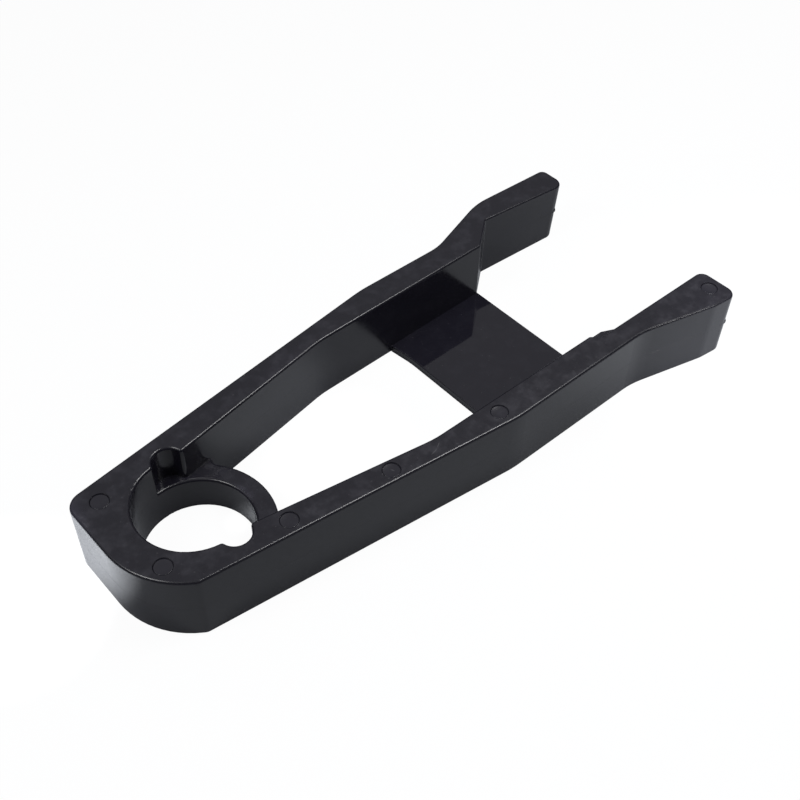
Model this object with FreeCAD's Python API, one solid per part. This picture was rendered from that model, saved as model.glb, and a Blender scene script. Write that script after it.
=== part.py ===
import FreeCAD, Part
import math
import os

os.makedirs("parts", exist_ok=True)

# Frame
# millimetres, +Z up, origin on the bore axis in the underside plane
# +X runs from the nose to the tails, +Y to the slim tail, -Y to the wedge tail

# Whole moulding
HEIGHT = 23.0
PARTING = HEIGHT / 2
TAIL_X = 176.8

# Bore and the half-height ring round it
BORE_R = 16.0
RING_WALL = 6.0
RING_BLEND = 2.5

# Round pockets at the two ends of the C-shaped wall
POCKET_X = 2.6
POCKET_Y = BORE_R - 0.6
POCKET_R = 4.35
CUSP_R = 1.0

# Nose: its -Y side sweeps round the bore axis and meets the rail at a knee
NOSE_WALL = 9.9
NOSE_R = BORE_R + NOSE_WALL
NOSE_X = -NOSE_R
NOSE_HALF = NOSE_R - 5.2
NOSE_CORNER_R = 5.2
NOSE_KNEE_R = 3.0

# Rails, given as half widths at the places where the sides bend
MOUTH_X = 8.0
MOUTH_HALF = BORE_R - 0.15
BEND_IN_X = 62.5
BEND_IN_R = 32.0
SLOT_HALF = 25.1
BEND_OUT_X = 86.5
BEND_OUT_R = 40.0
RAIL_THICK = 9.9
RAIL_OUT_HALF = SLOT_HALF + RAIL_THICK

# Floor web between the rails
WEB_THICK = 2.3
WEB_FRONT_X = 92.7
WEB_REAR_X = 131.2
WEB_FLARE_X = WEB_FRONT_X - 1.4
WEB_FLARE_HALF = 17.0
WEB_FLARE_R = 30.0
WEB_TUCK = 2.0

# Slim tail on the +Y side: steps out behind the web and runs straight to its end
SLIM_SLOT_HALF = SLOT_HALF + 1.1
SLIM_STEP_X = WEB_REAR_X - 0.6
SLIM_JOG_X = SLIM_STEP_X + 10.7
SLIM_JOG_Y = SLIM_SLOT_HALF + 8.6
SLIM_SWING_X = 119.5
SLIM_SWING_R = 20.0
SLIM_SHOULDER_X = 145.0
SLIM_SHOULDER_Y = RAIL_OUT_HALF + 8.5
SLIM_SHOULDER_R = 27.0
SLIM_END_OUT_Y = SLIM_SHOULDER_Y - 1.2
SLIM_END_THICK = 10.8
SLIM_END_OUT_R = 2.3
SLIM_END_IN_R = 3.7
SLIM_END_SHIFT = 1.5

# Wedge tail on the -Y side: thickens towards its end
WEDGE_STEP_X = 125.6
WEDGE_STEP_Y = SLOT_HALF + 0.5
WEDGE_JOG_X = WEDGE_STEP_X + 3.0
WEDGE_JOG_Y = WEDGE_STEP_Y + 2.4
WEDGE_SWING_X = 139.6
WEDGE_SWING_R = 30.0
WEDGE_SHOULDER_X = 166.0
WEDGE_SHOULDER_Y = RAIL_OUT_HALF + 6.8
WEDGE_SHOULDER_R = 15.0
WEDGE_END_OUT_Y = WEDGE_SHOULDER_Y + 1.2
WEDGE_END_IN_Y = WEDGE_JOG_Y + 0.4
WEDGE_END_OUT_R = 3.4
WEDGE_END_IN_R = 3.0
WEDGE_END_X = 176.1

# Lower step that fills the corner of the wedge tail's jog
LEDGE_DROP = 1.6
LEDGE_START_X = WEDGE_JOG_X + 2.4
LEDGE_END_X = LEDGE_START_X + 5.5
LEDGE_GRIP = 3.0

# Edges
JOG_R = 0.9
TOP_EDGE_R = 0.8
LOW_EDGE_R = 0.5
WEB_EDGE_R = 0.4

# Roots that carry the ring's blends inside the rails
ROOT_START_X = 5.0
ROOT_LENGTH = 25.0
ROOT_INSET = 0.5
ROOT_THICK = 4.0

# Ejector pin prints on the top face: two on the nose, the others midway across the -Y rail
PIN_R = 2.7
PIN_DEPTH = 0.2
NOSE_PINS = [(-18.4, 15.1), (-17.2, -12.6)]
RAIL_PINS_X = [15.2, 46.0, 83.0, 171.0]

# Slack for picking edges by position, and the overshoot of cutting shapes
TOLERANCE = 0.001
OVERSHOOT = 1.0


def vec(x, y, z=0.0):
    return FreeCAD.Vector(x, y, z)


def corner_arc(before, here, after, radius):
    """Start, middle and end of the arc that rounds one corner."""
    if radius == 0:
        return here, None, here
    back = (before - here).normalize()
    ahead = (after - here).normalize()
    half = back.getAngle(ahead) / 2
    reach = radius / math.tan(half)
    inward = (back + ahead).normalize()
    centre = here + inward * (radius / math.sin(half))
    return here + back * reach, centre - inward * radius, here + ahead * reach


def rounded_wire(corners):
    """Closed outline from (x, y, corner radius) points, with an arc at each corner."""
    count = len(corners)
    stops = []
    for i in range(count):
        before = vec(*corners[i - 1][:2])
        here = vec(*corners[i][:2])
        after = vec(*corners[(i + 1) % count][:2])
        stops.append(corner_arc(before, here, after, corners[i][2]))
    edges = []
    for i in range(count):
        start, middle, end = stops[i]
        if middle is not None:
            edges.append(Part.Arc(start, middle, end).toShape())
        edges.append(Part.makeLine(end, stops[(i + 1) % count][0]))
    return Part.Wire(edges)


def prism(wire, bottom, top):
    face = Part.Face(wire)
    face.translate(vec(0, 0, bottom))
    return face.extrude(vec(0, 0, top - bottom))


def disc(x, y, radius, bottom, top):
    return Part.makeCylinder(radius, top - bottom, vec(x, y, bottom))


def point_along(start, end, x):
    """Point at x on the line through two plan points."""
    share = (x - start[0]) / (end[0] - start[0])
    return x, start[1] + share * (end[1] - start[1])


def mouth_line(x):
    """Distance of a rail's inner side from the centre line between the bore and the bend."""
    return point_along((MOUTH_X, MOUTH_HALF), (BEND_IN_X, SLOT_HALF), x)[1]


def wedge_rail_side(x):
    """Point at x on the -Y rail's inner side, behind the bend."""
    return point_along((BEND_IN_X, -SLOT_HALF), (SLIM_STEP_X, -WEDGE_STEP_Y), x)


def wedge_tail_side(x):
    """Point at x on the inner side of the wedge tail."""
    return point_along((WEDGE_JOG_X, -WEDGE_JOG_Y), (WEDGE_END_X, -WEDGE_END_IN_Y), x)


def slim_rail_side(x):
    """Point at x on the +Y rail's inner side, behind the bend."""
    return point_along((BEND_IN_X, SLOT_HALF), (SLIM_STEP_X, SLIM_SLOT_HALF), x)


def slim_jog_side(x):
    """Point at x on the sloping wall of the slim tail's jog."""
    return point_along((SLIM_STEP_X, SLIM_SLOT_HALF), (SLIM_JOG_X, SLIM_JOG_Y), x)


def slim_tail_side(x, shift):
    """Point at x on the slim tail's inner side, whose end is moved outward by a shift."""
    end_in_y = SLIM_END_OUT_Y - SLIM_END_THICK
    return point_along((SLIM_JOG_X, SLIM_JOG_Y), (TAIL_X, end_in_y + shift), x)


def wedge_outer_side(x):
    """Point at x on the -Y rail's outer side, ahead of the bend."""
    return point_along((NOSE_X, -NOSE_HALF), (BEND_OUT_X, -RAIL_OUT_HALF), x)


def nose_sweep_turn():
    """Turn of the nose's arc round the bore axis, ending where a round twice the knee's would leave it."""
    y_at_axis = wedge_outer_side(0)[1]
    lean = math.atan(y_at_axis - wedge_outer_side(1)[1])
    spare = 2 * NOSE_KNEE_R
    side_distance = -y_at_axis * math.cos(lean)
    return math.pi / 2 - lean - math.acos((side_distance - spare) / (NOSE_R - spare))


def nose_sweep_side(x):
    """Point at x on the tangent at the end of the nose's arc."""
    turn = nose_sweep_turn()
    start = NOSE_X * math.tan(turn / 2)
    return x, start - (x - NOSE_X) / math.tan(turn)


def side_outline():
    """Plan outline of the nose and both rails; the slim tail's jog is still filled."""
    return rounded_wire([
        (NOSE_X, NOSE_HALF, NOSE_CORNER_R),
        (*nose_sweep_side(NOSE_X), NOSE_R),
        (*line_crossing(nose_sweep_side, wedge_outer_side), NOSE_KNEE_R),
        (BEND_OUT_X, -RAIL_OUT_HALF, BEND_OUT_R),
        (WEDGE_SWING_X, -RAIL_OUT_HALF, WEDGE_SWING_R),
        (WEDGE_SHOULDER_X, -WEDGE_SHOULDER_Y, WEDGE_SHOULDER_R),
        (WEDGE_END_X, -WEDGE_END_OUT_Y, WEDGE_END_OUT_R),
        (*wedge_tail_side(WEDGE_END_X), WEDGE_END_IN_R),
        (*wedge_tail_side(WEDGE_JOG_X), JOG_R),
        (*wedge_rail_side(WEDGE_STEP_X), JOG_R),
        (*wedge_rail_side(BEND_IN_X), BEND_IN_R),
        (MOUTH_X, -MOUTH_HALF, 0),
        (0, -MOUTH_HALF, 0),
        (0, MOUTH_HALF, 0),
        (MOUTH_X, MOUTH_HALF, 0),
        (BEND_IN_X, SLOT_HALF, BEND_IN_R),
        (*slim_rail_side(TAIL_X), 0),
        (TAIL_X, SLIM_END_OUT_Y, SLIM_END_OUT_R),
        (SLIM_SHOULDER_X, SLIM_SHOULDER_Y, SLIM_SHOULDER_R),
        (SLIM_SWING_X, RAIL_OUT_HALF, SLIM_SWING_R),
        (BEND_OUT_X, RAIL_OUT_HALF, BEND_OUT_R),
    ])


def line_crossing(first, second):
    """Plan point where two straight sides cross, each given as a function of x."""
    start = first(0)[1] - second(0)[1]
    slope = first(1)[1] - second(1)[1] - start
    return first(-start / slope)


def slim_tail_section(share):
    """Plan loop of what the jog leaves open, with the tail's inner side shifted by a share of its lean."""
    shift = share * SLIM_END_SHIFT
    before = SLIM_STEP_X - OVERSHOOT
    after = TAIL_X + OVERSHOOT
    z = HEIGHT * (1 - share)
    corner = line_crossing(slim_jog_side, lambda x: slim_tail_side(x, shift))
    points = [slim_jog_side(before), corner, slim_tail_side(after, shift), (after, 0), (before, 0)]
    loop = [vec(x, y, z) for x, y in points]
    return Part.makePolygon(loop + loop[:1])


def slim_tail_opening():
    """Space inside the slim tail; its ruled side makes the tail's inner face lean out towards the foot."""
    over = OVERSHOOT / HEIGHT
    loops = [slim_tail_section(1 + over), slim_tail_section(-over)]
    return Part.makeLoft(loops, True, True)


def upright_edges(shape):
    """Straight edges that stand along Z."""
    found = []
    for edge in shape.Edges:
        ends = edge.Vertexes
        if len(ends) == 2 and (ends[0].Point - ends[1].Point).cross(vec(0, 0, 1)).Length < TOLERANCE:
            found.append(edge)
    return found


def corner_edge(shape, x, y):
    """The edge whose middle lies nearest to a plan point at half height."""
    place = vec(x, y, HEIGHT / 2)
    return min(shape.Edges, key=lambda edge: (edge.CenterOfMass - place).Length)


def level_edges(shape, z):
    """Edges that lie wholly in the plane at height z."""
    found = []
    for edge in shape.Edges:
        box = edge.BoundBox
        if abs(box.ZMin - z) < TOLERANCE and abs(box.ZMax - z) < TOLERANCE:
            found.append(edge)
    return found


def outer_edges(edges):
    """Edges of the outer outline, leaving out the bore and the opening between the rails."""
    found = []
    for edge in edges:
        middle = edge.CenterOfMass
        between = abs(middle.y) < -rail_middle(middle.x)[1]
        inside = between and -BORE_R < middle.x < WEB_FRONT_X + TOLERANCE
        if not inside:
            found.append(edge)
    return found


def plan_distance(edge, x, y):
    point = edge.Vertexes[0].Point
    return math.hypot(point.x - x, point.y - y)


def pocket_cusps(shape):
    """Upright edges that the round pockets leave in the walls."""
    found = []
    for edge in upright_edges(shape):
        for side in (1, -1):
            if abs(plan_distance(edge, POCKET_X, side * POCKET_Y) - POCKET_R) < TOLERANCE:
                found.append(edge)
    return found


def side_walls():
    """Nose block and rails at full height, with the bore, the pockets and rounded top edges."""
    walls = prism(side_outline(), 0, HEIGHT)
    walls = walls.cut(slim_tail_opening())
    foot = slim_tail_side(TAIL_X, SLIM_END_SHIFT / 2)
    walls = walls.makeFillet(SLIM_END_IN_R, [corner_edge(walls, *foot)])
    jog_corners = [(SLIM_STEP_X, SLIM_SLOT_HALF), (SLIM_JOG_X, SLIM_JOG_Y)]
    walls = walls.makeFillet(JOG_R, [corner_edge(walls, x, y) for x, y in jog_corners])
    walls = walls.cut(disc(0, 0, BORE_R, 0, HEIGHT))
    for side in (1, -1):
        walls = walls.cut(disc(POCKET_X, side * POCKET_Y, POCKET_R, 0, HEIGHT))
    walls = walls.makeFillet(CUSP_R, pocket_cusps(walls))
    return walls.makeFillet(TOP_EDGE_R, level_edges(walls, HEIGHT))


def rail_root(side):
    """Block buried in a rail, from which the ring blends out."""
    start = (ROOT_START_X, side * (mouth_line(ROOT_START_X) + ROOT_INSET))
    end_x = ROOT_START_X + ROOT_LENGTH
    end = (end_x, side * (mouth_line(end_x) + ROOT_INSET))
    thick = side * ROOT_THICK
    corners = [
        (*start, 0),
        (*end, 0),
        (end[0], end[1] + thick, 0),
        (start[0], start[1] + thick, 0),
    ]
    return prism(rounded_wire(corners), 0, PARTING)


def half_ring():
    """Ring that closes the bore below the parting plane, blended into both rails."""
    outer_r = BORE_R + RING_WALL
    ring = disc(0, 0, outer_r, 0, PARTING)
    for side in (1, -1):
        ring = ring.fuse(rail_root(side))
    ring = ring.removeSplitter()
    necks = []
    for edge in upright_edges(ring):
        ahead = edge.Vertexes[0].Point.x > ROOT_START_X + TOLERANCE
        if ahead and abs(plan_distance(edge, 0, 0) - outer_r) < TOLERANCE:
            necks.append(edge)
    ring = ring.makeFillet(RING_BLEND, necks)
    rim = []
    for edge in level_edges(ring, PARTING):
        middle = edge.CenterOfMass
        if middle.x > ROOT_START_X and abs(middle.y) < mouth_line(middle.x) + ROOT_INSET + TOLERANCE:
            rim.append(edge)
    ring = ring.makeFillet(TOP_EDGE_R, rim)
    ring = ring.cut(disc(0, 0, BORE_R, 0, PARTING))
    mouth = []
    for edge in level_edges(ring, PARTING):
        if abs(plan_distance(edge, 0, 0) - BORE_R) < TOLERANCE:
            mouth.append(edge)
    return ring.makeFillet(TOP_EDGE_R, mouth)


def bore_flare():
    """Plug that flares at its foot by the rounding of the bore's lower rim."""
    spread = BORE_R + LOW_EDGE_R
    bend = LOW_EDGE_R * (1 - math.sqrt(0.5))
    foot = vec(spread, 0, 0)
    neck = vec(BORE_R, 0, LOW_EDGE_R)
    cap = vec(0, 0, LOW_EDGE_R)
    profile = Part.Wire([
        Part.makeLine(vec(0, 0), foot),
        Part.Arc(foot, vec(BORE_R + bend, 0, bend), neck).toShape(),
        Part.makeLine(neck, cap),
        Part.makeLine(cap, vec(0, 0)),
    ])
    return Part.Face(profile).revolve(vec(0, 0), vec(0, 0, 1), 360)


def floor_web():
    """Thin floor between the rails; its front edge sweeps back at both walls."""
    tuck = SLIM_SLOT_HALF + WEB_TUCK
    web = prism(rounded_wire([
        (WEB_FLARE_X, tuck, 0),
        (WEB_FRONT_X, WEB_FLARE_HALF, WEB_FLARE_R),
        (WEB_FRONT_X, -WEB_FLARE_HALF, WEB_FLARE_R),
        (WEB_FLARE_X, -tuck, 0),
        (WEB_REAR_X, -tuck, 0),
        (WEB_REAR_X, tuck, 0),
    ]), 0, WEB_THICK)
    crosswise = []
    for edge in level_edges(web, WEB_THICK):
        if edge.BoundBox.YLength > TOLERANCE:
            crosswise.append(edge)
    return web.makeFillet(WEB_EDGE_R, crosswise)


def jog_ledge():
    """Lower step in the wedge tail's jog, just beneath the top face."""
    front = wedge_rail_side(WEDGE_STEP_X - LEDGE_GRIP)
    rear = wedge_tail_side(LEDGE_END_X + LEDGE_GRIP)
    buried = rear[1] - LEDGE_GRIP
    return prism(rounded_wire([
        (*front, 0),
        (*wedge_rail_side(LEDGE_START_X), JOG_R),
        (*wedge_tail_side(LEDGE_END_X), JOG_R),
        (*rear, 0),
        (rear[0], buried, 0),
        (front[0], buried, 0),
    ]), 0, HEIGHT - LEDGE_DROP)


def rail_middle(x):
    """Point at x midway across the -Y rail or its tail."""
    if x < BEND_IN_X:
        inner = -mouth_line(x)
    elif x < WEDGE_JOG_X:
        inner = wedge_rail_side(x)[1]
    else:
        inner = wedge_tail_side(x)[1]
    if x < BEND_OUT_X:
        outer = wedge_outer_side(x)[1]
    else:
        outer = point_along((WEDGE_SHOULDER_X, -WEDGE_SHOULDER_Y), (WEDGE_END_X, -WEDGE_END_OUT_Y), x)[1]
    return x, (inner + outer) / 2


body = side_walls().fuse([half_ring(), floor_web(), jog_ledge()]).removeSplitter()
body = body.makeFillet(LOW_EDGE_R, outer_edges(level_edges(body, 0)))
body = body.cut(bore_flare())
for x, y in NOSE_PINS + [rail_middle(x) for x in RAIL_PINS_X]:
    body = body.cut(disc(x, y, PIN_R, HEIGHT - PIN_DEPTH, HEIGHT))
body.exportStep("parts/slider_body.step")
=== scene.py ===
# %% [markdown]
# A chain slider is one black plastic moulding that lies round a swingarm leg, so the chain rubs
# on plastic and not on metal. Everything that has a size is in the solid already. This lesson
# dresses that solid: it gives the plastic its satin and polished finishes, adds the thin seam
# that the two mould halves leave, and lights it as a catalogue photograph does. Lengths are in
# metres, with MM for the small ones.

# %% Load the solid
import math

import bmesh
import bpy
from mathutils import Matrix, Vector


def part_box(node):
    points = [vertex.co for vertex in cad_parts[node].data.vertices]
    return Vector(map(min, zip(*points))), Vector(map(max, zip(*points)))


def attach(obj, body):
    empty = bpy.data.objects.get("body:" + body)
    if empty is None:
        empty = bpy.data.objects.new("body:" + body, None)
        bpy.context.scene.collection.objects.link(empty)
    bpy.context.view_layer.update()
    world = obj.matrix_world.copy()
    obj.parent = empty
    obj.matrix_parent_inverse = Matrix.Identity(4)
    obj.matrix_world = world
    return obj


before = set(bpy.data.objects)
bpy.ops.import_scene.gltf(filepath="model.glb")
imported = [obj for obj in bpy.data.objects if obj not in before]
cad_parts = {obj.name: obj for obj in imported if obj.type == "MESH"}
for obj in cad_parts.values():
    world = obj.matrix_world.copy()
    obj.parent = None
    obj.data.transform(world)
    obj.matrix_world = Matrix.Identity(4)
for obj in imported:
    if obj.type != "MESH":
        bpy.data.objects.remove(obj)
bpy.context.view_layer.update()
MM = 0.001
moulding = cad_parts["slider_body"]
low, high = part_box("slider_body")
print("moulding", [round(v / MM, 1) for v in high - low], "mm")

# %% [markdown]
# The camera stands where the photographer stood. Its place came from lining up the bore circle,
# the rails and the upright edges with the picture: about 31 cm from the bore, looking down by 47
# degrees over the nose end. A normal lens so close keeps the nose larger than the tails. Three
# directions turn the camera exactly, where two angles and a roll would need trial and error.

# %% Camera
CAMERA_PLACE = Vector((-82.111, -166.327, 253.132)) * MM
CAMERA_AHEAD = Vector((0.465538, 0.500779, -0.729723))
CAMERA_UP = Vector((0.472926, 0.556169, 0.683386))
FOCAL_PIXELS = 1115.4
PHOTO_PIXELS = 800
SENSOR_WIDTH = 36.0
CLIP_NEAR = 0.01
CLIP_FAR = 10.0


def add_object(name, data):
    """New object in the scene, made from a camera, mesh or lamp."""
    made = bpy.data.objects.new(name, data)
    bpy.context.scene.collection.objects.link(made)
    return made


camera_data = bpy.data.cameras.new("photo_camera")
camera_data.sensor_width = SENSOR_WIDTH
camera_data.lens = FOCAL_PIXELS * SENSOR_WIDTH / PHOTO_PIXELS
camera_data.clip_start = CLIP_NEAR
camera_data.clip_end = CLIP_FAR
camera = add_object("photo_camera", camera_data)
rightward = CAMERA_AHEAD.cross(CAMERA_UP).normalized()
true_up = rightward.cross(CAMERA_AHEAD).normalized()
facing = Matrix((rightward, true_up, -CAMERA_AHEAD)).transposed()
camera.matrix_world = Matrix.Translation(CAMERA_PLACE) @ facing.to_4x4()
bpy.context.scene.camera = camera
print("lens", round(camera_data.lens, 2), "mm")

# %% [markdown]
# The whole part is one plastic, so it gets one material. Its nodes are made by a small helper:
# it adds one node, and each keyword sets one of its sockets or joins it to another node's
# output. The sockets that share a name are called by number, such as i0. Four shorter helpers
# cover what repeats, which keeps every finish readable as a recipe.

# %% Black plastic: an empty material and the node helpers


def node(tree, kind, settings=None, **sockets):
    """New node of a kind, with its settings and its sockets filled or joined."""
    made = tree.nodes.new(kind)
    for name, value in (settings or {}).items():
        setattr(made, name, value)
    for name, value in sockets.items():
        by_number = name[0] == "i" and name[1:].isdigit()
        socket = made.inputs[int(name[1:]) if by_number else name.replace("_", " ")]
        if isinstance(value, bpy.types.NodeSocket):
            tree.links.new(value, socket)
        else:
            socket.default_value = value
    return made


def maths(tree, operation, first, second):
    return node(tree, "ShaderNodeMath", {"operation": operation}, i0=first, i1=second).outputs[0]


def remap(tree, value, from_low, from_high, to_low, to_high):
    """Eased step: to_low below from_low, to_high above from_high."""
    made = node(tree, "ShaderNodeMapRange", {"interpolation_type": "SMOOTHSTEP"}, Value=value,
                From_Min=from_low, From_Max=from_high, To_Min=to_low, To_Max=to_high)
    return made.outputs[0]


def blend(tree, share, first, second):
    return node(tree, "ShaderNodeMix", Factor=share, i2=first, i3=second).outputs[0]


def blend_colour(tree, share, first, second):
    made = node(tree, "ShaderNodeMix", {"data_type": "RGBA"}, Factor=share, i6=first, i7=second)
    return made.outputs[2]


plastic = bpy.data.materials.new("black_moulding")
plastic.use_nodes = True
tree = plastic.node_tree
shader = tree.nodes["Principled BSDF"]
print("material", plastic.name, "starts with", len(tree.nodes), "nodes")

# %% [markdown]
# The real part is a dense black plastic. Its top faces carry the fine blasted skin of the mould,
# so they are satin. The walls come off smoother steel, the rounded edges are a little worn, and
# the thin floor web shines like a mirror. The mesh could be split into four materials, but the
# edges between them would be hard. Here masks do it: the way a surface faces and its height say
# which finish it has, and each mask fades softly into the next.

# %% Black plastic: where each finish lies
LEVEL = (0.975, 0.999)
TOP_FACE = (20.0 * MM, 22.6 * MM)
WEB_FACE = (2.6 * MM, 4.0 * MM)
OFF_UPRIGHT = (0.2, 0.5)
NEAR_LEVEL = (0.985, 0.999)

place = node(tree, "ShaderNodeTexCoord").outputs["Object"]
height = node(tree, "ShaderNodeSeparateXYZ", Vector=place).outputs["Z"]
normal = node(tree, "ShaderNodeNewGeometry").outputs["Normal"]
upward = node(tree, "ShaderNodeSeparateXYZ", Vector=normal).outputs["Z"]
facing_up = remap(tree, upward, *LEVEL, 0.0, 1.0)
on_top = maths(tree, "MULTIPLY", facing_up, remap(tree, height, *TOP_FACE, 0.0, 1.0))
on_web = maths(tree, "MULTIPLY", facing_up, remap(tree, height, *WEB_FACE, 1.0, 0.0))
on_edge = maths(tree, "MULTIPLY", remap(tree, upward, *OFF_UPRIGHT, 0.0, 1.0),
                remap(tree, upward, *NEAR_LEVEL, 1.0, 0.0))
print("satin above", round(TOP_FACE[1] / MM, 1), "mm")
print("mirror below", round(WEB_FACE[0] / MM, 1), "mm")

# %% [markdown]
# Six steel pins pushed the part out of its mould. Their prints are in the solid as shallow round
# steps. A pin's end is turned and worn, so inside each print the skin is smoother and slightly
# dished, which gives it a light crescent. Rings could be cut into the mesh for that, but one
# number, the distance to the nearest pin, makes both the smooth spot and the dish. The places
# of the pins are in millimetres, as a drawing gives them.

# %% Black plastic: pin prints
PIN_R = 2.7 * MM
PINS = [(-18.4, 15.1), (-17.2, -12.6), (15.2, -21.48),
        (46.0, -26.07), (83.0, -29.9), (171.0, -35.38)]
PIN_FACE = 22.8
PIN_RIM = (0.86 * PIN_R, 0.98 * PIN_R)
FAR_OFF = 1.0

pin_distance = FAR_OFF
for x, y in PINS:
    pin = (x * MM, y * MM, PIN_FACE * MM)
    to_pin = node(tree, "ShaderNodeVectorMath", {"operation": "DISTANCE"}, i0=place, i1=pin)
    pin_distance = maths(tree, "MINIMUM", to_pin.outputs["Value"], pin_distance)
in_pin = remap(tree, pin_distance, *PIN_RIM, 1.0, 0.0)
bowl = maths(tree, "POWER", maths(tree, "DIVIDE", pin_distance, PIN_R), 2.0)
dish = maths(tree, "MULTIPLY", bowl, in_pin)
print("pin prints", len(PINS))

# %% [markdown]
# A handled moulding is never even. Its skin has dull patches about 5 mm across, finger smudges
# inside them, the fine grain of the blasted mould, and slow waves where the melt flowed. Painted
# images could carry this, but noise in the part's own space needs no unwrapping and has no
# repeats. A noise's scale is its number of blots to the metre.

# %% Black plastic: the noises
PATCH_NOISE = {"Scale": 210.0, "Detail": 4.0, "Roughness": 0.6}
SMUDGE_NOISE = {"Scale": 620.0, "Detail": 3.0, "Roughness": 0.65}
GRAIN_NOISE = {"Scale": 2600.0, "Detail": 2.0, "Roughness": 0.5}
SPECK_NOISE = {"Scale": 1500.0, "Detail": 0.0}
WAVE_NOISE = {"Scale": 38.0, "Detail": 1.0}


def blots(settings):
    return node(tree, "ShaderNodeTexNoise", Vector=place, **settings).outputs[0]


patches = blots(PATCH_NOISE)
grain = blots(GRAIN_NOISE)
smudges = blots(SMUDGE_NOISE)
specks = blots(SPECK_NOISE)
waves = blots(WAVE_NOISE)
print("patches every", round(1 / PATCH_NOISE["Scale"] / MM, 1), "mm")

# %% [markdown]
# Roughness is what tells satin from polish. Each finish has its own value, and the patches and
# smudges push it up and down a little, so a light that glides over the top breaks up as it does
# on the real skin. The blends go from the widest area to the smallest: walls, edges, top, web.

# %% Black plastic: roughness
SATIN = 0.33
WALL = 0.17
EDGE = 0.27
MIRROR = 0.05
PIN_SKIN = 0.28
NOISE_SPAN = (0.3, 0.7)
SATIN_DRIFT = (-0.05, 0.05)
SMUDGE_DRIFT = (-0.04, 0.04)
WALL_DRIFT = (-0.03, 0.04)

satin = maths(tree, "ADD", SATIN, remap(tree, patches, *NOISE_SPAN, *SATIN_DRIFT))
satin = maths(tree, "ADD", satin, remap(tree, smudges, *NOISE_SPAN, *SMUDGE_DRIFT))
satin = blend(tree, in_pin, satin, PIN_SKIN)
wall = maths(tree, "ADD", WALL, remap(tree, patches, *NOISE_SPAN, *WALL_DRIFT))
wall = blend(tree, on_edge, wall, EDGE)
rough = blend(tree, on_web, blend(tree, on_top, wall, satin), MIRROR)
tree.links.new(rough, shader.inputs["Roughness"])
print("roughness: satin", SATIN, "wall", WALL, "edge", EDGE, "mirror", MIRROR)

# %% [markdown]
# The plastic is a black with a breath of violet. Where hands and cloths rubbed it, grey clouds
# lie on the level faces, and inside the pin prints it is as worn. A few specks of dust sit on
# what faces up. The clouds only blend two near blacks, since more contrast would look like dirt.

# %% Black plastic: clouds and dust
BLACK = (0.0095, 0.0090, 0.0142, 1.0)
WORN_BLACK = (0.0215, 0.0208, 0.0285, 1.0)
DUST = (0.16, 0.16, 0.17, 1.0)
CLOUD_SPAN = (0.42, 0.68)
SMUDGED_CLOUDS = (0.5, 1.0)
CLOUDS_OFF_TOP = 0.25
PIN_WEAR = 0.45
SPECK_SPAN = (0.83, 0.87)
SPECK_STRENGTH = 0.12

clouds = maths(tree, "MULTIPLY", remap(tree, patches, *CLOUD_SPAN, 0.0, 1.0),
               remap(tree, smudges, *NOISE_SPAN, *SMUDGED_CLOUDS))
level_not_web = maths(tree, "SUBTRACT", facing_up, on_web)
clouds = maths(tree, "MULTIPLY", clouds, remap(tree, level_not_web, 0.0, 1.0, CLOUDS_OFF_TOP, 1.0))
clouds = maths(tree, "MAXIMUM", clouds, maths(tree, "MULTIPLY", in_pin, PIN_WEAR))
tint = blend_colour(tree, clouds, BLACK, WORN_BLACK)
dust = maths(tree, "MULTIPLY", remap(tree, specks, *SPECK_SPAN, 0.0, SPECK_STRENGTH), facing_up)
print("tints from", BLACK[:3], "to", WORN_BLACK[:3])

# %% [markdown]
# A few pale nicks on the top of the rails are large enough to see. Each is a short soft stroke
# at its own place and turn. A mapping node squeezes space round the stroke, so the plain distance
# from its middle becomes a long thin spot, and no mesh or image is needed for it. Each row says
# where the scuff is in millimetres, its turn in degrees and half its length.

# %% Black plastic: scuffs
SCUFFS = [(59.1, -28.8, 11, 1.3), (61.6, -27.7, 29, 1.0), (44.7, -24.1, -8, 0.3),
          (46.3, -26.2, -65, 0.6), (43.3, -25.5, -141, 0.5), (43.7, -27.7, -13, 0.4),
          (134.6, 38.1, -17, 0.4)]
SCUFF_LEVEL = 23.0
SCUFF_HALF_WIDTH = 0.16
SCUFF_HALF_DEPTH = 1.0
SCUFF_FADE = (0.3, 1.3)
SCUFF_STRENGTH = 0.30

for x, y, turn, half_length in SCUFFS:
    stroke = node(tree, "ShaderNodeMapping", {"vector_type": "TEXTURE"}, Vector=place,
                  Location=(x * MM, y * MM, SCUFF_LEVEL * MM),
                  Rotation=(0, 0, math.radians(turn)),
                  Scale=(half_length * MM, SCUFF_HALF_WIDTH * MM, SCUFF_HALF_DEPTH * MM))
    reach = node(tree, "ShaderNodeVectorMath", {"operation": "LENGTH"}, i0=stroke.outputs[0])
    scuff = remap(tree, reach.outputs["Value"], *SCUFF_FADE, SCUFF_STRENGTH, 0.0)
    dust = maths(tree, "MAXIMUM", dust, scuff)
tree.links.new(blend_colour(tree, dust, tint, DUST), shader.inputs["Base Color"])
print("scuffs", len(SCUFFS))

# %% [markdown]
# Three reliefs are too small for the mesh: the grain of the top skin, the dish in each pin print
# and the slow flow waves that bend every reflection a little. Bump nodes in a row add them up.
# Each one takes the last one's normal, from the finest relief to the broadest.

# %% Black plastic: skin relief
PLASTIC_IOR = 1.5
GRAIN_BUMP = {"Strength": 0.16, "Distance": 0.05 * MM}
DISH_BUMP = {"Strength": 1.0, "Distance": 0.34 * MM}
WAVE_BUMP = {"Strength": 0.34, "Distance": 0.25 * MM}

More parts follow.
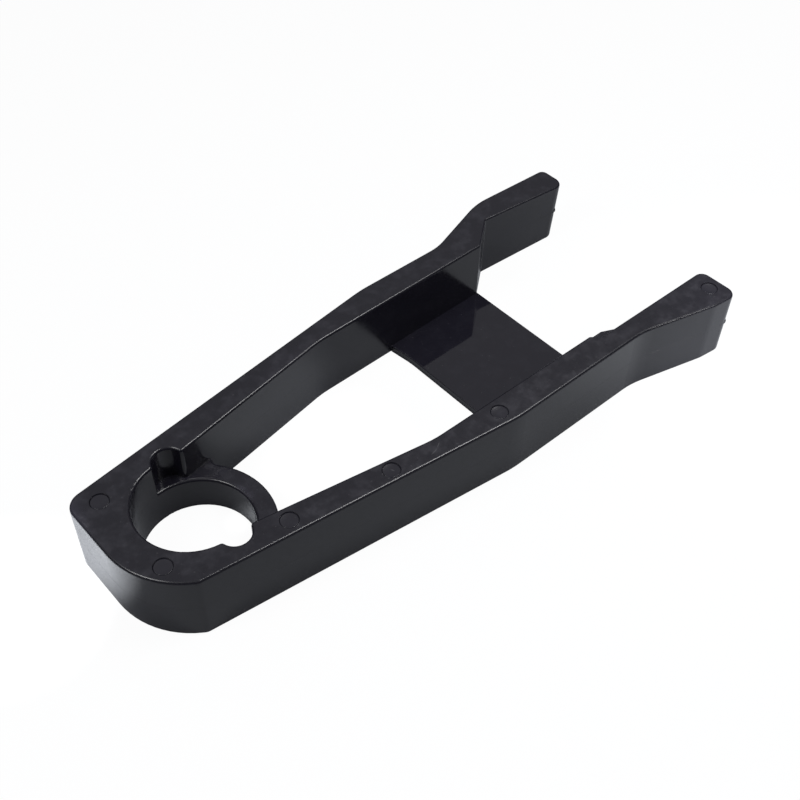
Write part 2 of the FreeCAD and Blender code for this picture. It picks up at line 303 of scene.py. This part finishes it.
shader.inputs["IOR"].default_value = PLASTIC_IOR
top_grain = maths(tree, "MULTIPLY", grain, on_top)
skin = node(tree, "ShaderNodeBump", Height=top_grain, **GRAIN_BUMP).outputs[0]
dished = node(tree, "ShaderNodeBump", Height=dish, Normal=skin, **DISH_BUMP).outputs[0]
rippled = node(tree, "ShaderNodeBump", Height=waves, Normal=dished, **WAVE_BUMP).outputs[0]
tree.links.new(rippled, shader.inputs["Normal"])
moulding.data.materials.clear()
moulding.data.materials.append(plastic)
print("material", plastic.name, len(tree.nodes), "nodes")

# %% [markdown]
# Where the two mould halves meet, a hair of plastic creeps out and leaves a seam along the whole
# outline at half height. The line could be drawn by hand, but cutting the solid's mesh with a
# level plane gives it exactly. The cut is a hair above half height, because the ring round the
# bore has its top face right there.

# %% Seam line
PARTING = 11.5 * MM
SEAM_LIFT = 0.06 * MM
WELD = 0.0005 * MM


def seam_outline(source, level):
    """Ordered points of the loop where a level plane cuts a mesh."""
    work = bmesh.new()
    work.from_mesh(source)
    bmesh.ops.remove_doubles(work, verts=work.verts, dist=WELD)
    cut = bmesh.ops.bisect_plane(work, geom=work.verts[:] + work.edges[:] + work.faces[:],
                                 plane_co=(0, 0, level), plane_no=(0, 0, 1))["geom_cut"]
    links = {}
    for edge in (item for item in cut if isinstance(item, bmesh.types.BMEdge)):
        first, second = edge.verts
        links.setdefault(first, []).append(second)
        links.setdefault(second, []).append(first)
    start = max(links, key=lambda vert: vert.co.x)
    walk = [start]
    following = links[start][0]
    while following is not start:
        walk.append(following)
        onward = [vert for vert in links[following] if vert is not walk[-2]]
        following = onward[0]
    points = [vert.co.copy() for vert in walk]
    work.free()
    return points


outline = seam_outline(moulding.data, PARTING + SEAM_LIFT)
area = sum(a.x * b.y - b.x * a.y for a, b in zip(outline, outline[1:] + outline[:1])) / 2
if area < 0:
    outline.reverse()
print("seam points", len(outline), "area", round(abs(area) / MM ** 2), "mm2")

# %% [markdown]
# At the end of each tail the seam swells into a small nib of flash, where melt was pressed into
# the gap of the mould. Each nib sits at the corner on the side away from the nose and towards
# the wedge tail. That corner is picked by its outward direction, so the nibs follow the tails if
# those change.

# %% Flash nibs
TAIL_X = 172.0 * MM
NIB_FACING = Vector((0.56, -0.83, 0.0))


def outward(points, i):
    """Level direction that points out of the solid at one point of the outline."""
    run = points[(i + 1) % len(points)] - points[i - 1]
    return Vector((run.y, -run.x, 0.0)).normalized()


nib_tips = []
for tail in (1, -1):
    own = [i for i, point in enumerate(outline) if point.x > TAIL_X and point.y * tail > 0]
    nib_tips.append(outline[max(own, key=lambda i: outward(outline, i).dot(NIB_FACING))])
print("nibs at", [[round(v / MM, 1) for v in tip] for tip in nib_tips])

# %% [markdown]
# The seam itself is a low ridge with its foot sunk in the wall, swept along the outline as one
# closed tube. Each point of the outline carries one ring of five corners, which grows wider and
# prouder near a nib. The points are held inside the solid's own size plus the seam's height.

# %% Seam ridge
SEAM_HALF = 0.16 * MM
SEAM_PROUD = 0.012 * MM
SEAM_SUNK = 0.10 * MM
SHOULDER_OUT = 0.75
SHOULDER_UP = 0.45
NIB_PROUD = 0.34 * MM
NIB_HALF = 0.75 * MM
NIB_REACH = 1.3 * MM


def ridge_profile(point):
    """Corners of the ridge at one point, as outward and upward distances."""
    nearest = min((point - tip).length for tip in nib_tips)
    nib = math.exp(-((nearest / NIB_REACH) ** 2))
    proud = SEAM_PROUD + nib * NIB_PROUD
    half = SEAM_HALF + nib * NIB_HALF
    return [(-SEAM_SUNK, -half), (SHOULDER_OUT * proud, -SHOULDER_UP * half), (proud, 0.0),
            (SHOULDER_OUT * proud, SHOULDER_UP * half), (-SEAM_SUNK, half)]


def within_box(point):
    """The same point, held inside the size of the solid plus the seam's own height."""
    limits = zip(point, low, high)
    return Vector([min(max(v, a - SEAM_PROUD), b + SEAM_PROUD) for v, a, b in limits])


seam = bmesh.new()
rings = []
for i, point in enumerate(outline):
    away = outward(outline, i)
    corners = [point + out * away + Vector((0, 0, up)) for out, up in ridge_profile(point)]
    rings.append([seam.verts.new(within_box(corner)) for corner in corners])
for ring, following in zip(rings, rings[1:] + rings[:1]):
    for k in range(len(ring)):
        after = (k + 1) % len(ring)
        seam.faces.new((ring[k], following[k], following[after], ring[after]))
bmesh.ops.recalc_face_normals(seam, faces=seam.faces)
seam_mesh = bpy.data.meshes.new("mould_seam")
seam.to_mesh(seam_mesh)
seam.free()
seam_mesh.materials.append(plastic)
mould_seam = add_object("mould_seam", seam_mesh)
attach(mould_seam, "root")
print("seam faces", len(seam_mesh.polygons))

# %% [markdown]
# The ground of a catalogue picture is cleaned to plain white, so it is whiter to the eye than in
# the mirror of the plastic. The floor does the same: seen by the camera it is nearly white with
# a breath of shadow, while the plastic reflects ordinary pale paper.

# %% Floor
FLOOR_HALF = 3.0
PAPER = (0.385, 0.400, 0.425, 1.0)
WHITE = (1, 1, 1, 1)
WHITE_GLOW = 1.08
CLEANED = 0.88

floor_mesh = bpy.data.meshes.new("studio_floor")
floor_corners = [(-FLOOR_HALF, -FLOOR_HALF, 0), (FLOOR_HALF, -FLOOR_HALF, 0),
                 (FLOOR_HALF, FLOOR_HALF, 0), (-FLOOR_HALF, FLOOR_HALF, 0)]
floor_mesh.from_pydata(floor_corners, [], [(0, 1, 2, 3)])
floor = add_object("studio_floor", floor_mesh)

paper = bpy.data.materials.new("pale_floor")
paper.use_nodes = True
paper_tree = paper.node_tree
paper_tree.nodes.clear()
lit = node(paper_tree, "ShaderNodeBsdfDiffuse", Color=PAPER).outputs[0]
white = node(paper_tree, "ShaderNodeEmission", Color=WHITE, Strength=WHITE_GLOW).outputs[0]
eye_on_floor = node(paper_tree, "ShaderNodeLightPath").outputs["Is Camera Ray"]
cleaned = maths(paper_tree, "MULTIPLY", eye_on_floor, CLEANED)
mixed = node(paper_tree, "ShaderNodeMixShader", i0=cleaned, i1=lit, i2=white).outputs[0]
node(paper_tree, "ShaderNodeOutputMaterial", Surface=mixed)
floor_mesh.materials.append(paper)
print("floor", 2 * FLOOR_HALF, "m across")

# %% [markdown]
# Black plastic shows the room more than itself. The room is dark at the horizon and bright
# overhead, so every rounded top edge carries a light line with a dark line under it, and it is
# brighter on the far side than behind the camera. A picture of a room could do this too, but a
# ramp over the height of the ray is even, soft and easy to tune. Seen straight by the camera,
# the room is a plain pale backdrop.

# %% Room
ROOM_STOPS = [(0.0, 0.04), (0.30, 0.07), (0.52, 0.25), (0.73, 0.34), (0.86, 0.30), (1.0, 0.30)]
ROOM_BLUE = 1.02
NEAR_TO_FAR = (-0.6, 0.6)
ROOM_STRENGTH = (0.42, 1.12)
BACKDROP = (0.93, 0.94, 0.95, 1.0)

world = bpy.data.worlds.new("studio_room")
world.use_nodes = True
room = world.node_tree
ray = node(room, "ShaderNodeTexCoord").outputs["Generated"]
ray_parts = node(room, "ShaderNodeSeparateXYZ", Vector=ray).outputs
ramp = node(room, "ShaderNodeValToRGB", Fac=ray_parts["Z"])
ramp.color_ramp.interpolation = "EASE"
stops = ramp.color_ramp.elements
stops.remove(stops[1])
for at, light in ROOM_STOPS:
    stop = stops[0] if at == 0.0 else stops.new(at)
    stop.color = (light, light, light * ROOM_BLUE, 1.0)
strength = remap(room, ray_parts["Y"], *NEAR_TO_FAR, *ROOM_STRENGTH)
eye_on_room = node(room, "ShaderNodeLightPath").outputs["Is Camera Ray"]
colour = blend_colour(room, eye_on_room, ramp.outputs[0], BACKDROP)
strength = blend(room, eye_on_room, strength, 1.0)
background = room.nodes["Background"]
room.links.new(colour, background.inputs["Color"])
room.links.new(strength, background.inputs["Strength"])
bpy.context.scene.world = world
bpy.context.scene.view_settings.view_transform = "Standard"
print("room stops", len(stops))

# %% [markdown]
# Three soft lamps draw the highlights. The wide one overhead lies along the part and gives the
# near top edges their long white line. The left one does the same for the nose, and the small
# one on the right lights the floor beside the wedge tail. An ellipse fades more gently at its
# ends than a square lamp, so the lines in the plastic have no corners.

# %% Soft lamps
SOFT_LAMPS = {
    "right_lamp": {"place": (250, -55, 300), "aim": (175, -80, 0),
                   "size": (100, 100), "watts": 0.20},
    "overhead_lamp": {"place": (185, -112, 400), "aim": (185, -60, 0),
                      "size": (240, 72), "watts": 0.98},
    "left_lamp": {"place": (-215, 55, 360), "aim": (-20, 0, 0),
                  "size": (100, 180), "watts": 0.62},
}


def hang_lamp(name, kind, setup):
    """Lamp of one kind at its place, turned towards its aim, both in millimetres."""
    data = bpy.data.lights.new(name, kind)
    data.energy = setup["watts"]
    lamp = add_object(name, data)
    lamp.location = Vector(setup["place"]) * MM
    beam = Vector(setup["aim"]) - Vector(setup["place"])
    lamp.rotation_euler = beam.to_track_quat("-Z", "Y").to_euler()
    return data


for name, setup in SOFT_LAMPS.items():
    panel = hang_lamp(name, "AREA", setup)
    panel.shape = "ELLIPSE"
    panel.size, panel.size_y = (side * MM for side in setup["size"])
print("soft lamps", list(SOFT_LAMPS))

# %% [markdown]
# The walls are upright mirrors, so what they show is the floor in front of them. Narrow spots
# lay pools of light there: before the nose, beside the wedge tail, inside the bore and in the
# slot. Each pool comes back as a soft sheen on one wall, which a lamp aimed at the plastic
# itself wouldn't give.

# %% Spots on the floor
SPOT_BLEND = 0.7
SPOT_RADIUS = 2.0
SPOTS = {
    "nose_spot": {"place": (-60, 14, 250), "aim": (-48, 19, 0), "cone": 14, "watts": 7.8},
    "tail_spot": {"place": (240, -260, 260), "aim": (206, -98, 0), "cone": 33, "watts": 4.8},
    "bore_spot": {"place": (30, -10, 300), "aim": (13.5, 1.5, 0), "cone": 1.6, "watts": 3.4},
    "gap_spot": {"place": (40, -30, 350), "aim": (52, 6, 0), "cone": 9, "watts": 2.2},
}

for name, setup in SPOTS.items():
    spot = hang_lamp(name, "SPOT", setup)
    spot.spot_size = math.radians(setup["cone"])
    spot.spot_blend = SPOT_BLEND
    spot.shadow_soft_size = SPOT_RADIUS * MM
print("spots", list(SPOTS))
